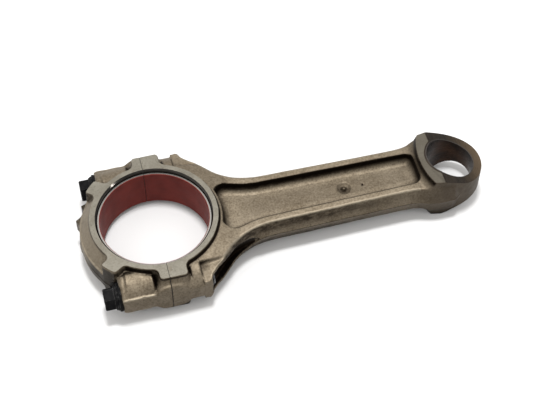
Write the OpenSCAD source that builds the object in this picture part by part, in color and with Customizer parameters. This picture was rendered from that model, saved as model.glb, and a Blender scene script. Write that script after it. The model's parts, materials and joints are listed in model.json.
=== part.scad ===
// Connecting rod of a heavy diesel engine, with its cap, bearing shells, bush and bolts.
// The rod lies flat: +Z is the axis of both bores, +X runs from the big end to the small end,
// and the origin is the middle of the big-end bore. Millimetres.

/* [Big end] */
// Diameter of the crank journal that the big end runs on
journal_d = 97; // [90:0.5:100]
// Running clearance on the journal's diameter
journal_gap = 0.08; // [0.04:0.01:0.18]
// Wall of one bearing shell, steel back and lining together
shell_wall = 2.5; // [2:0.1:3]
// Thickness of the bearing lining
lining_wall = 0.5; // [0.3:0.1:0.8]
// Width of the bearing shells along the journal
shell_w = 40; // [36:1:44]
// Thickness of the big end across its machined thrust faces
big_w = 48; // [46:1:52]
// Outer radius of the machined thrust ring
ring_r = 57; // [55:0.5:58]
// Half width of the big end over the machined pads at the joint
pad_y = 67.5; // [66:0.5:69]
// Half width of the big end over its bolt bosses
flank_y = 72.7; // [72:0.1:75]
// Radius of the cap's outer rim
rim_r = 67.5; // [65:0.5:69]
// Thickness of the rim at the cap's back, where both faces slope down to it
rim_w = 19; // [16:1:24]

/* [Small end] */
// Distance between the two bore axes
centres = 276; // [270:1:290]
// Diameter of the piston pin
pin_d = 44; // [42:0.5:46]
// Running clearance on the pin's diameter
pin_gap = 0.05; // [0.04:0.01:0.08]
// Thickness of the bush's steel back
bush_back_wall = 1.4; // [1:0.1:2]
// Thickness of the bush's bronze lining
bush_lining_wall = 0.8; // [0.5:0.1:1]
// Outer radius of the small end
small_r = 30; // [29:0.5:32]
// Thickness of the small end where it is widest
small_w = 48; // [44:1:50]

/* [Shank] */
// Thickness of the shank over its two flanges
shank_w = 30; // [28:1:32]
// Thickness of the web between the two pockets
web_w = 11; // [8:0.5:14]
// Half width of the shank in the middle of its length
shank_y = 25.6; // [24:0.2:27]
// Half width of a pocket in the middle of its length
pocket_y = 18.2; // [16:0.2:19]

/* [Bolts] */
// Distance of each bolt's axis from the rod's centre line
bolt_y = 60.6; // [60.3:0.1:61]
// Nominal diameter of the bolts
bolt_d = 14; // [12:0.5:14]
// Hexagon of the bolt head, across its flats
hex_s = 18; // [16:1:19]
// Height of the hexagon
hex_h = 9; // [8:0.5:10]
// Height of the collar under the hexagon
collar_h = 3; // [2:0.5:4]
// Diameter of the collar under the hexagon
collar_d = 23; // [21:0.5:24]
// Outer diameter of the washer
washer_d = 25.5; // [24:0.5:26]
// Thickness of the washer
washer_t = 3.2; // [2:0.2:4]
// Distance from the joint face to the bolt seats on the cap
seat_x = 43; // [42:0.5:44]
// How far the bolts reach past the joint face
bolt_reach = 39.5; // [38:0.5:41]

/* [Hidden] */
$fn = 96;
eps = 0.01;
far = 200;

lining_r = (journal_d + journal_gap) / 2;
back_r = lining_r + lining_wall;
housing_r = lining_r + shell_wall;
bush_r = (pin_d + pin_gap) / 2;
bush_back_r = bush_r + bush_lining_wall;
small_bore_r = bush_back_r + bush_back_wall;
chamfer = 1.2;
edge_chamfer = 0.6;

// pads that cross the joint
pad_x0 = -8.2;
pad_x1 = 16.3;
// the flank under the pads is tall, the bolt bosses on the cap are lower
pad_flank_h = 15.6;
boss_flank_h = 9;
boss_end_x = -14;
seat_zone_x = -37.4;
hole_r = bolt_d / 2 + 0.2;
thread_r = bolt_d / 2 + 0.05;
shoulder_x = 36.5;

// small end: full thickness up to the break, then a hollow taper down to the nose
break_x = centres - 15;
taper = [[0, 0], [10, 3.9], [22, 9.2], [34, 12.5], [50, 13.6]];

function arc(cx, cy, r, a0, a1, n = 8) =
    [for (i = [0 : n]) let (a = a0 + (a1 - a0) * i / n) [cx + r * cos(a), cy + r * sin(a)]];
function flip_y(points) = [for (i = [len(points) - 1 : -1 : 0]) [points[i][0], -points[i][1]]];
// half width of the shank, which narrows a little towards the small end
function shank_half(x) = shank_y - 0.0148 * (x - centres * 0.62);
function pocket_half(x) = pocket_y - 0.013 * (x - centres * 0.62);

module slab(h) {
    translate([0, 0, -h / 2])
        linear_extrude(h) children();
}

module ring(r_out, r_in, h) {
    difference() {
        cylinder(r = r_out, h = h, center = true);
        cylinder(r = r_in, h = h + 1, center = true);
    }
}

// the half space on one side of the joint face: side 1 is the rod's, side -1 the cap's
module half(side, gap = 0) {
    intersection() {
        children();
        translate([side > 0 ? gap : -far - gap, -far, -far])
            cube([far, 2 * far, 2 * far]);
    }
}

module both_sides() {
    for (side = [-1, 1])
        scale([1, side, 1]) children();
}

module both_faces() {
    for (side = [-1, 1])
        mirror([0, 0, side > 0 ? 0 : 1]) children();
}

// the machined ring with the four pads that reach out across the joint
module thrust_ring() {
    cylinder(r = ring_r, h = big_w, center = true);
    slab(big_w)
        difference() {
            translate([pad_x0, -pad_y])
                square([pad_x1 - pad_x0, 2 * pad_y]);
            both_corners();
        }
}

// the rounding of the pads' outer corners
module both_corners() {
    r = 3;
    for (x = [pad_x0, pad_x1], y = [-pad_y, pad_y])
        translate([x, y])
            difference() {
                square(2 * r, center = true);
                translate([x < 0 ? r : -r, y < 0 ? r : -r]) circle(r = r);
            }
}

// the housing bore for the shells, with a chamfer at each face
module big_bore() {
    cylinder(r = housing_r, h = big_w + 2, center = true);
    both_faces()
        translate([0, 0, big_w / 2 - chamfer])
            cylinder(r1 = housing_r, r2 = housing_r + chamfer + eps, h = chamfer + eps);
}

module joint_flank() {
    translate([-far / 2, 0, 0])
        slab(2 * pad_flank_h)
            translate([far / 2 + boss_end_x, -flank_y])
                square([pad_x1 + 2 - boss_end_x, 2 * flank_y]);
}

// --- rod ---

// the shoulders fall away from the ring to the thickness of the shank
module ring_foot() {
    intersection() {
        rotate_extrude()
            polygon([
                [40, 19.4], [59.6, 19.4], [62, 18.8], [76, shank_w / 2 - 0.5],
                [76, 0.5 - shank_w / 2], [62, -18.8], [59.6, -19.4], [40, -19.4]
            ]);
        slab(60)
            polygon([
                [17.8, 57.5], [34, 57.5], [46.4, 56.5], [58.4, 43.2], [70, 34.4], [80, 28],
                [80, -28], [70, -34.4], [58.4, -43.2], [46.4, -56.5], [34, -57.5], [17.8, -57.5]
            ]);
    }
}

// half outline of the shoulder and shank, from the joint to the small end
function rod_outline() = concat(
    [[0, flank_y], [shoulder_x - 2, flank_y]],
    arc(shoulder_x - 2, flank_y - 4, 4, 80, 10, 4),
    [[41.5, 63.5], [46, 58.5], [50.5, 53.5], [55.5, 47.2], [61, 41.2], [67, 36.8], [75, 32.6], [85, 29.2]],
    [for (x = [97 : 27 : 232]) [x, shank_half(x)]],
    [[240, 25.2], [245, 27.3], [249, 30]],
    [[break_x, 30.6], [break_x + 8, 29]]
);

module shank() {
    slab(shank_w)
        polygon(concat(rod_outline(), flip_y(rod_outline())));
}

// the raised rib beside the pad
module lug() {
    translate([18.6, ring_r - 5, -19.4])
        cube([9, flank_y - ring_r + 5, 38.8]);
}

// what is taken off the rib and around it, so that its top falls away to the flank
module lug_slope() {
    translate([17.6, 0, 0])
        rotate([90, 0, 90])
            linear_extrude(10.4)
                polygon([
                    [ring_r + 1.2, 30], [ring_r + 1.2, 19.2], [ring_r + 3.4, 18.4], [flank_y - 1, 9.4],
                    [flank_y + 1, 7], [flank_y + 1, 30]
                ]);
}

// the low triangular field between the lug and the shoulder's edge
module shoulder_recess() {
    translate([0, 0, shank_w / 2 - 4])
        linear_extrude(20)
            polygon([
                [27.6, 53.5], [40, 53], [51.5, 51.4], [48.5, 53], [44, 58],
                [39, 63.5], [36, 68], [32, 75], [27.6, 75]
            ]);
}

// the groove along the shoulder's edge at mid thickness, which runs out into the shank
module side_groove() {
    slab(13)
        polygon([
            [shoulder_x + 1, 80], [shoulder_x, 66], [41, 58], [46, 52], [51.5, 45.2], [57, 39.2],
            [63.5, 35.2], [72, 32.4], [84, 31], [84, 50]
        ]);
}

function pocket_outline() = concat(
    arc(236.5, pocket_half(236) - 6, 6, 0, 90, 4),
    [for (x = [222 : -30 : 102]) [x, pocket_half(x)]],
    [[90, 20.2], [80, 22.5]],
    arc(69, 18.5, 6.5, 75, 150, 4),
    [[60.6, 14]],
    arc(0, 0, ring_r + 4.5, 11, 0, 2)
);

module pocket() {
    depth = (shank_w - web_w) / 2;
    translate([0, 0, shank_w / 2 - depth])
        linear_extrude(depth + 6)
            polygon(concat(pocket_outline(), flip_y(pocket_outline())));
}

module small_end_block() {
    intersection() {
        union() {
            translate([centres, 0, 0])
                cylinder(r = small_r, h = small_w, center = true);
            slab(small_w)
                polygon([
                    [246, 0], [247.3, 14], [250.6, 26], [253.5, 30.2], [break_x, 30.6], [break_x + 8, 29],
                    [centres, small_r], [centres, -small_r], [break_x + 8, -29], [break_x, -30.6],
                    [253.5, -30.2], [250.6, -26], [247.3, -14]
                ]);
        }
        small_end_taper();
    }
}

// everything between the two hollow tapers; the bush is cut by the same shape
module small_end_taper() {
    top = [for (p = taper) [break_x + p[0], small_w / 2 - p[1]]];
    translate([0, far / 2, 0])
        rotate([90, 0, 0])
            linear_extrude(far)
                polygon(concat(
                    [[break_x - 60, small_w / 2]], top,
                    [for (i = [len(top) - 1 : -1 : 0]) [top[i][0], -top[i][1]]],
                    [[break_x - 60, -small_w / 2]]
                ));
}

module bolt_holes(r, x0, x1) {
    for (side = [-1, 1])
        translate([x0, side * bolt_y, 0])
            rotate([0, 90, 0])
                cylinder(r = r, h = x1 - x0);
}

module rod_body() {
    color("#8f8776")
        difference() {
            union() {
                half(1) thrust_ring();
                half(1) joint_flank();
                shank();
                ring_foot();
                small_end_block();
                both_sides() lug();
            }
            both_faces() pocket();
            both_faces() both_sides() shoulder_recess();
            both_faces() both_sides() lug_slope();
            both_sides() side_groove();
            big_bore();
            translate([centres, 0, 0])
                cylinder(r = small_bore_r, h = small_w + 2, center = true);
            bolt_holes(thread_r, -1, 60);
        }
}

// --- cap ---

// the bolt boss: a rounded back over a straight flank
module cap_boss() {
    top = [
        [48, 18.2], [53, 18.6], [60, 15.8], [66, 12],
        [70, boss_flank_h + 0.4], [flank_y, boss_flank_h - 1]
    ];
    translate([-seat_x, 0, 0])
        rotate([90, 0, 90])
            linear_extrude(seat_x + boss_end_x)
                polygon(concat(top, [for (i = [len(top) - 1 : -1 : 0]) [top[i][0], -top[i][1]]]));
    translate([boss_end_x - 1, 50, -boss_flank_h])
        cube([20, flank_y - 50, 2 * boss_flank_h]);
}

// the cap's back: full thickness beside the bolt heads, sloping down to a lower rim in between
module cap_back() {
    difference() {
        intersection() {
            cylinder(r = rim_r, h = big_w, center = true);
            slab(big_w)
                polygon([
                    [-80, -50.3], [-44, -50.3], [-38, -47], [-20, -40],
                    [-20, 40], [-38, 47], [-44, 50.3], [-80, 50.3]
                ]);
        }
        both_faces() back_slope();
    }
}

// what is taken off each face over the sector of the cap's back
module back_slope() {
    intersection() {
        rotate_extrude()
            polygon([
                [ring_r, big_w / 2 + 1], [ring_r, big_w / 2 - 0.4],
                [rim_r - 1.5, rim_w / 2], [80, rim_w / 2], [80, 30]
            ]);
        slab(100)
            polygon([[-10, -7.4], [-90, -66.6], [-90, 66.6], [-10, 7.4]]);
    }
}

// small nubs on the rim, on one side only
module rim_nubs() {
    for (nub = [[-0.6, 1.2], [17.5, 5.2], [32, 5.2]])
        rotate([0, 0, 180 - nub[0]])
            translate([rim_r - 1, 0, 0])
                rotate([0, 0, 45])
                    cube([nub[1] * 1.4, nub[1] * 1.4, rim_w - 4], center = true);
}

module seat_faces() {
    for (side = [-1, 1])
        translate([-seat_x - 40, side * bolt_y, 0])
            rotate([0, 90, 0])
                cylinder(r = washer_d / 2 + 1, h = 40);
}

module seat_steps() {
    both_sides() both_faces()
        translate([-seat_x - 1, 45, 17.2])
            cube([seat_x + 1 + seat_zone_x, 30, 5]);
}

module bearing_cap() {
    color("#978f7c")
        difference() {
            half(-1)
                union() {
                    thrust_ring();
                    joint_flank();
                    cap_back();
                    rim_nubs();
                    both_sides() cap_boss();
                }
            seat_faces();
            seat_steps();
            big_bore();
            bolt_holes(hole_r, -seat_x - 1, 1);
        }
}

// --- bearing shells and bush ---

module shell_part(side, r_out, r_in) {
    half(side, 0.03) ring(r_out, r_in, shell_w);
}

module rod_shell_back() {
    color("#cfc8bd") shell_part(1, housing_r, back_r);
}

module rod_shell_lining() {
    color("#6a302a") shell_part(1, back_r, lining_r);
}

module cap_shell_back() {
    color("#cfc8bd") shell_part(-1, housing_r, back_r);
}

module cap_shell_lining() {
    color("#6a302a") shell_part(-1, back_r, lining_r);
}

module bush_part(r_out, r_in) {
    intersection() {
        translate([centres, 0, 0]) ring(r_out, r_in, small_w);
        small_end_taper();
    }
}

module bush_back() {
    color("#8c8780") bush_part(small_bore_r, bush_back_r);
}

module bush_lining() {
    color("#6b4a30") bush_part(bush_back_r, bush_r);
}

// --- bolts: the origin of each is the middle of its seat on the cap ---

module at_bolt(side) {
    translate([-seat_x, side * bolt_y, 0])
        rotate([0, -90, 0])
            children();
}

module washer(side) {
    color("#1d1d1f")
        at_bolt(side)
            difference() {
                cylinder(d = washer_d, h = washer_t);
                translate([0, 0, -1]) cylinder(r = hole_r, h = washer_t + 2);
            }
}

module bolt(side) {
    color("#1b1b1d")
        at_bolt(side) {
            translate([0, 0, washer_t])
                cylinder(d = collar_d, h = collar_h);
            translate([0, 0, washer_t + collar_h - eps])
                rotate([0, 0, side > 0 ? 28 : -40])
                    cylinder(d = hex_s / cos(30), h = hex_h, $fn = 6);
            translate([0, 0, -seat_x - bolt_reach])
                cylinder(d = bolt_d, h = seat_x + bolt_reach + washer_t + eps);
        }
}

module washer_left() washer(1);
module washer_right() washer(-1);
module bolt_left() bolt(1);
module bolt_right() bolt(-1);

rod_body();
bearing_cap();
rod_shell_back();
rod_shell_lining();
cap_shell_back();
cap_shell_lining();
bush_back();
bush_lining();
washer_left();
washer_right();
bolt_left();
bolt_right();
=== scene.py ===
"""Looks of a diesel engine's connecting rod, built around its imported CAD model.

The forged skins of the rod and the cap are modelled as implicit shapes (solid where the field is below
zero) and meshed, then bored, faced and spot-faced with exact cutters. Shape code works in millimetres.
"""

import json
import math

import bmesh
import bpy
import numpy as np
from mathutils import Matrix, Vector


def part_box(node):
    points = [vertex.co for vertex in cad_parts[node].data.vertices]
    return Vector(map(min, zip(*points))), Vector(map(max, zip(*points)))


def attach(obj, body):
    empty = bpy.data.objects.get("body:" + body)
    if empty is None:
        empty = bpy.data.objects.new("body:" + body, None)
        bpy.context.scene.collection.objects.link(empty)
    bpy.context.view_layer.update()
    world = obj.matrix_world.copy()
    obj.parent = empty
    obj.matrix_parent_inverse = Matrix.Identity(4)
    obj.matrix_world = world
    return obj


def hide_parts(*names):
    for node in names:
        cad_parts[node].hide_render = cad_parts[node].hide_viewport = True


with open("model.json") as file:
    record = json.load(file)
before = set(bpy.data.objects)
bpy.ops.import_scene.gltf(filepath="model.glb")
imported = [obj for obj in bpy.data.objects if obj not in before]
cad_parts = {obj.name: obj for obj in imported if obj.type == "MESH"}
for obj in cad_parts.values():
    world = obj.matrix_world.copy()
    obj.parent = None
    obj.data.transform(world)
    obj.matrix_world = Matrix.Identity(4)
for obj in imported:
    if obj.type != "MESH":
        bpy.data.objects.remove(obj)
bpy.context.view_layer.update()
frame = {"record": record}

MM = 0.001

# --- sizes from the frame, in millimetres ---

mounts = {m["name"]: m for m in frame["record"]["mounts"]}


def node_box(node):
    """Lowest and highest corner of a CAD node in millimetres."""
    low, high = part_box(node)
    return np.array(low) / MM, np.array(high) / MM


HALF_T = mounts["thrust_face_top"]["pos_m"][2] / MM
CENTRES = mounts["small_end_bore"]["pos_m"][0] / MM
LINING_R = mounts["big_end_bore"]["dims"]["r_mm"]
SHELL_W = mounts["big_end_bore"]["dims"]["length_mm"]
BUSH_R = mounts["small_end_bore"]["dims"]["r_mm"]
BACK_R = node_box("rod_shell_lining")[1][1]
HOUSING_R = node_box("rod_shell_back")[1][1]
BUSH_BACK_R = node_box("bush_lining")[1][1]
SMALL_BORE_R = node_box("bush_back")[1][1]
FLANK_Y = node_box("rod_body")[1][1]
NOSE_X = node_box("rod_body")[1][0]
washer_low, washer_high = node_box("washer_left")
bolt_low, bolt_high = node_box("bolt_left")
SEAT_X = -washer_high[0]
WASHER_X = -washer_low[0]
WASHER_R = (washer_high[1] - washer_low[1]) / 2
BOLT_Y = (washer_high[1] + washer_low[1]) / 2
HEAD_X = -bolt_low[0]
TIP_X = bolt_high[0]
COLLAR_R = (bolt_high[2] - bolt_low[2]) / 2

# --- sizes that the frame doesn't give; an H is half a height, from mid thickness up ---

RING_R = HOUSING_R + 6.1  # machined ring on the thrust faces
PAD_X = (-8.2, 16.3)  # machined pads across the joint
PAD_Y = FLANK_Y - 5.2
HOUSING_CHAMFER = 1.25
BOLT_R = 7.0
HOLE_R = BOLT_R + 0.2
THREAD_HOLE_R = BOLT_R + 0.05
THREAD_PITCH = 1.5
HEX_S = 18.0  # across flats
COLLAR_H = 3.0
WAIST = 0.7  # how much thinner a bolt's shank is than its thread, in radius
SPOT_R = WASHER_R + 1.0
SHANK_H = 14.9
WEB_H = 5.5
DIMPLE_X = 175.5  # round dimple in the web
DOT_X = 193.0  # small pit beside it
SMALL_R = NOSE_X - CENTRES
BREAK_X = CENTRES - 15.0  # where the small end's hollow tapers start
TAPER = ((0, 0), (10, 3.9), (22, 9.2), (34, 12.5), (50, 13.6))  # how far each has dropped, past BREAK_X
RIM_R = 66.5  # back of the cap
RIM_H = 9.8
SECTOR = 36.5  # half angle of the slopes on the cap's back, in degrees
CONTACT = 0.02  # gap left between parts that bear on each other
GRID = 0.7  # spacing of the grid that the skins are meshed on

# --- implicit shapes ---
# x runs along the rod, a is |y| and h is |z|, as nearly all of it is symmetrical


def both(a, b, r):
    """What is in a and in b, its edge rounded to radius r."""
    return np.minimum(np.maximum(a, b), -r) + np.hypot(np.maximum(a + r, 0), np.maximum(b + r, 0))


def either(a, b, r):
    """What is in a or in b, with a fillet of radius r between them."""
    return np.maximum(np.minimum(a, b), r) - np.hypot(np.maximum(r - a, 0), np.maximum(r - b, 0))


def without(a, b, r):
    """a with b cut out of it, the edge of the cut rounded to radius r."""
    return both(a, -b, r)


def climb(distance, span):
    """0 where the distance is below zero, rising evenly to 1 over span."""
    return np.clip(distance / span, 0, 1)


def near(distance, fade, full):
    """1 close to zero distance, down to 0 at full times fade from it."""
    return np.clip(full - np.abs(distance) / fade, 0, 1)


def smooth(points, count=6):
    """Points along a Catmull-Rom curve through the points given, count to each stretch."""
    p = np.array([points[0], *points, points[-1]], float)
    t = np.linspace(0, 1, count, endpoint=False)[:, None]
    out = []
    for a, b, c, d in zip(p, p[1:], p[2:], p[3:]):
        square = 2 * a - 5 * b + 4 * c - d
        cube = 3 * b - a - 3 * c + d
        out.append(0.5 * (2 * b + (c - a) * t + square * t**2 + cube * t**3))
    return [tuple(q) for q in np.vstack([*out, p[-1:]])]


def plan(x, a, outline):
    """Signed distance in plan from a closed outline, negative inside it."""
    nearest = np.full(np.broadcast(x, a).shape, 1e9)
    inside = np.zeros(nearest.shape, bool)
    for (ax, ay), (bx, by) in zip(outline, [*outline[1:], outline[0]]):
        ex, ey = bx - ax, by - ay
        if ex == 0 and ey == 0:
            continue
        wx, wy = x - ax, a - ay
        t = np.clip((wx * ex + wy * ey) / (ex * ex + ey * ey), 0, 1)
        nearest = np.minimum(nearest, (wx - ex * t) ** 2 + (wy - ey * t) ** 2)
        if ey:
            crosses = (ay > a) != (by > a)
            inside ^= crosses & (wx < ex * wy / ey)
    return np.where(inside, -1, 1) * np.sqrt(nearest)


def arc(cx, cy, r, start, end, n):
    """n points along an arc, its angles in degrees."""
    return [(cx + r * math.cos(t), cy + r * math.sin(t)) for t in np.radians(np.linspace(start, end, n))]


def unevenness(x, y, z, size, seed):
    """Soft noise between about -1 and 1, from a few waves in random directions."""
    rng = np.random.default_rng(seed)
    total = 0
    for _ in range(7):
        k = rng.normal(size=3)
        k *= rng.uniform(0.7, 1.6) * 2 * math.pi / size / np.linalg.norm(k)
        total = total + np.sin(k[0] * x + k[1] * y + k[2] * z + rng.uniform(0, 6.3))
    return total / 3.5


def fracture(y, z):
    """How far the cracked joint face stands off its plane."""
    return 0.16 * unevenness(0 * y, y, z, 9, 5) + 0.07 * unevenness(0 * y, y, z, 3, 6)


def thrust_plan(x, a):
    """The machined ring with its pads, in plan."""
    corner = 3
    middle = sum(PAD_X) / 2
    qx = np.abs(x - middle) - (PAD_X[1] - PAD_X[0]) / 2 + corner
    qy = a - PAD_Y + corner
    pad = np.hypot(np.maximum(qx, 0), np.maximum(qy, 0)) + np.minimum(np.maximum(qx, qy), 0) - corner
    return either(np.hypot(x, a) - RING_R, pad, 4.5)


def face_chamfer(outline, h, chamfer):
    """The small chamfer round a block of that outline, at the thrust face."""
    return (outline + np.minimum(h - HALF_T, 0) + chamfer) * 0.7071


def standing(outline, h, draft):
    """A block of that outline, with drafted walls and a chamfer at the thrust face, left 1 mm too high."""
    wall = np.maximum(outline - draft * (HALF_T - h), h - HALF_T - 1)
    return np.maximum(wall, face_chamfer(outline, h, 0.5))


def flash(h, height):
    """The trimmed flash that stands off a side along the parting line."""
    return height * np.exp(-((h / 0.6) ** 2))


# outlines in plan, each of one half: the other half is its mirror image
SHOULDER = [
    (-5, FLANK_Y + 6), (26, FLANK_Y + 6), (29.5, FLANK_Y + 0.8),
    *smooth([
        (32.6, FLANK_Y - 0.2), (35.4, FLANK_Y - 2.6), (37.2, 66.2), (43, 60), (48, 56), (53, 51),
        (58, 45.6), (63.5, 40), (71, 34.8), (80, 30.4), (91, 27.4), (104, 26.1), (130, 25.8),
        (170, 25.1), (205, 24.6), (230, 24.5), (240, 25.6), (248, 28.2), (257, 30),
    ]),
    (270, 30), (270, -40), (-5, -40),
]
RECESS = [(28.2, 54.2), (40, 53.4), (52, 51.8), (49, 55), (43, 60.8), (37.6, 67), (36.4, 80), (28.2, 80)]
CHANNEL_END = 88
CHANNEL = [
    *smooth([
        (37.2, 80), (36.5, 65), (39.5, 57.5), (44, 51.8), (49.5, 45.4), (55.5, 39.8), (63, 35.2),
        (73, 31.8), (CHANNEL_END, 30),
    ]),
    (CHANNEL_END, 60), (60, 80),
]
POCKET = [
    *arc(0, 0, RING_R + 4, 0, 17, 5),
    *smooth([
        (60.4, 21.2), (64.2, 24), (69, 24.8), (75, 23.6), (83, 21.2), (92, 19.7), (105, 19), (170, 18),
        (225, 17.2),
    ]),
    *arc(236.4, 9.6, 7.4, 78, 5, 6),
    (244, 0), (244, -30), (RING_R, -30),
]
CAP_CORNER = [(-90, -5), (-20, -5), (-20, 40), (-37, 46.5), (-43.4, 50.3), (-90, 50.3)]

# half height of the flanks along X: low at the bolt bosses, full at the pads
FLANK_H = smooth([
    (-60, 9.2), (-30, 9.2), (-18, 9.0), (-14, 10.0), (-11, 12.6), (-7, 15.0), (0, 15.8), (8, 15.3),
    (12.5, 13.0), (16.5, 9.9), (21, 8.6), (27, 8.4), (33, 9.4), (50, 9.5),
])


def flank(x, a, h):
    """The flat outer sides of the big end."""
    line_x, line_h = np.array(FLANK_H).T
    return both(a - FLANK_Y, (h - np.interp(x, line_x, line_h)) * 0.9, 1.5)


def shank_side(x, a, h):
    """The sides of the shank and the shoulders, which lean out towards the parting line."""
    return plan(x, a, SHOULDER) + 0.29 * (h - SHANK_H)


def shoulder_top(r):
    """Half height of the shank and the shoulders, which rise towards the ring."""
    return SHANK_H + 4.6 * climb(77 - r, 17)


def pocket_wall(x, a, h):
    """The walls of the pockets in the shank, with their draft."""
    return plan(x, a, POCKET) + 0.13 * (SHANK_H - h)


def channel_h(x):
    """Half height of the groove along the edge, drawn out to a point."""
    return 11.4 * np.sqrt(np.clip((CHANNEL_END - x) / 40, 0.01, 1))


def small_end_step(x, a, h):
    """The curved step in front of the small end's block, with its draft."""
    return np.hypot(x - BREAK_X - 55.6, a) - 70 - 0.4 * (HALF_T - h)


def rod_skin(x, y, z):
    """The rod before machining."""
    a, h = np.abs(y), np.abs(z)
    r = np.hypot(x, a)
    ring = standing(thrust_plan(x, a), h, 0.16)
    body = either(ring, both(flank(x, a, h), x - 30, 1.0), 4.8)

    # shank and shoulders, whose top falls to the flank beside the pads
    foot = shoulder_top(r)
    rib = 19.0 - 0.027 * np.maximum(a - 53, 0) ** 2
    top = np.where(x < 28.2, np.minimum(foot, rib), foot)
    side = shank_side(x, a, h) - flash(h, 0.45)
    side = np.maximum(side, a - FLANK_Y)
    shoulder = both(side, h - top, 1.5)
    beside_pad = both(both(x - 18.7, 56.6 - a, 1.0), 14.6 - h, 0.6)
    shoulder = without(shoulder, beside_pad, 2.0)
    recess_floor = 12.6 + 0.22 * np.clip(x - 28, 0, 9) - 0.06 * np.clip(a - 58, 0, 12)
    shoulder = without(shoulder, both(plan(x, a, RECESS), recess_floor - h, 2.6), 1.3)
    body = either(body, shoulder, 1.2)

    # small end: a block behind a curved step
    column = np.hypot(np.maximum(x - CENTRES, 0), a) - SMALL_R - 0.4 * climb(CENTRES - x, 15)
    column = column + 0.17 * np.maximum(BREAK_X + 1 - x, 0)
    block = both(column, small_end_step(x, a, h), 1.5)
    block = np.maximum(block, face_chamfer(column, h, 0.4))
    block = np.maximum(block, h - HALF_T - 1)
    body = either(body, block, 4.5)

    # pockets in both faces, with the dimple and the pit in the web
    centre = np.hypot(x - DIMPLE_X, y)
    dot = np.hypot(x - DOT_X, y + 0.4)
    web = WEB_H - 2.6 * np.clip(1 - (centre / 6.6) ** 2, 0, 1) + 2.8 * np.exp(-((centre / 1.7) ** 4))
    web = web - 1.2 * np.exp(-((dot / 0.9) ** 2))
    pocket = both(pocket_wall(x, a, h), web - h, 6.0)
    body = without(body, pocket, 0.8)

    # groove along the edge at mid thickness, from the bolt's end into the shank
    body = without(body, both(plan(x, a, CHANNEL), h - channel_h(x), 1.6), 0.8)

    body = body + 0.07 * unevenness(x, y, z, 15, 1)
    return both(body, fracture(y, z) - x, 0.4)


# plan line of the ridge on top of each bolt boss
RIDGE = ((-46, 51.8), (-34, 51.8), (-27, 51.4), (-20, 55.3), (-13, 58.8))
# flash nubs left on the cap's rim: angle from the cap's middle, and how far each would reach as a point
NUBS = ((-1.0, 68.2), (19.5, 72.2), (33.0, 72.2))


def cap_skin(x, y, z):
    """The cap before machining."""
    a, h = np.abs(y), np.abs(z)
    r = np.hypot(x, a)
    angle = np.degrees(np.arctan2(a, -x))
    outer_r = RIM_R + 1.3 * climb(angle - 32, 6)
    corner = np.maximum(plan(x, a, CAP_CORNER), r - outer_r)
    body = standing(either(thrust_plan(x, a), corner, 2.0), h, 0.1)
    wall = r - outer_r - 0.05 * (HALF_T - h) - flash(h, 0.4)
    body = np.maximum(body, np.where(a < 50, wall, -9))

    # slopes on the back
    sector = both(RING_R + 0.2 - r, (angle - SECTOR) * r * 0.01745, 5)
    slope = 22.2 - 1.5 * (r - RING_R - 0.7)
    body = without(body, both(sector, (np.maximum(slope, RIM_H) - h) * 0.6, 1.2), 0.7)

    # bolt bosses and the flank below them
    ridge_x, ridge_a = np.array(RIDGE).T
    ridge = np.interp(x, ridge_x, ridge_a)
    out = climb(a - ridge, FLANK_Y - 1.9 - ridge)
    top = 18.6 - 8.9 * out**2.0 + 0.25 * np.sin(x * 0.45) - 0.35 * np.maximum(ridge - a, 0)
    step_down = climb(-36.4 - x - 1.5 * out, 1.8) * np.clip(2.2 - 2 * out, 0, 1)
    top = top - 1.5 * step_down
    inner_side = 44 - a
    boss = both(both(a - FLANK_Y, h - top, 0.6), x + 13.8, 1.6)
    boss = np.maximum(boss, inner_side)
    pads = both(flank(x, a, h), -15 - x, 1.0)
    body = either(body, pads, 4.8)
    side = both(either(boss, flank(x, a, h), 0.6), -SEAT_X - 0.8 - x, 3.4)
    body = either(body, np.maximum(side, inner_side), 1.2)

    # flash nubs, on one side only
    for nub_angle, reach in NUBS:
        t = math.radians(nub_angle)
        along = -x * math.cos(t) + y * math.sin(t)
        across = np.abs(x * math.sin(t) + y * math.cos(t))
        nub = both((across * 0.85 + along - reach) * 0.76, h - 7.5, 1.5)
        nub = np.maximum(nub, 60 - along)
        body = either(body, nub, 2.0)

    body = body + 0.07 * unevenness(x, y, z, 15, 2)
    return both(body, x - fracture(y, z), 0.4)


# --- meshes from fields ---


def steps(low, high, fine=()):
    """Grid lines from low to high, GRID apart, and closer around each (middle, reach, spacing) in fine."""
    line = low
    lines = []
    while line < high:
        lines.append(line)
        line += min([GRID] + [spacing for middle, reach, spacing in fine if abs(line - middle) < reach])
    return np.array([*lines, high])


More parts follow.
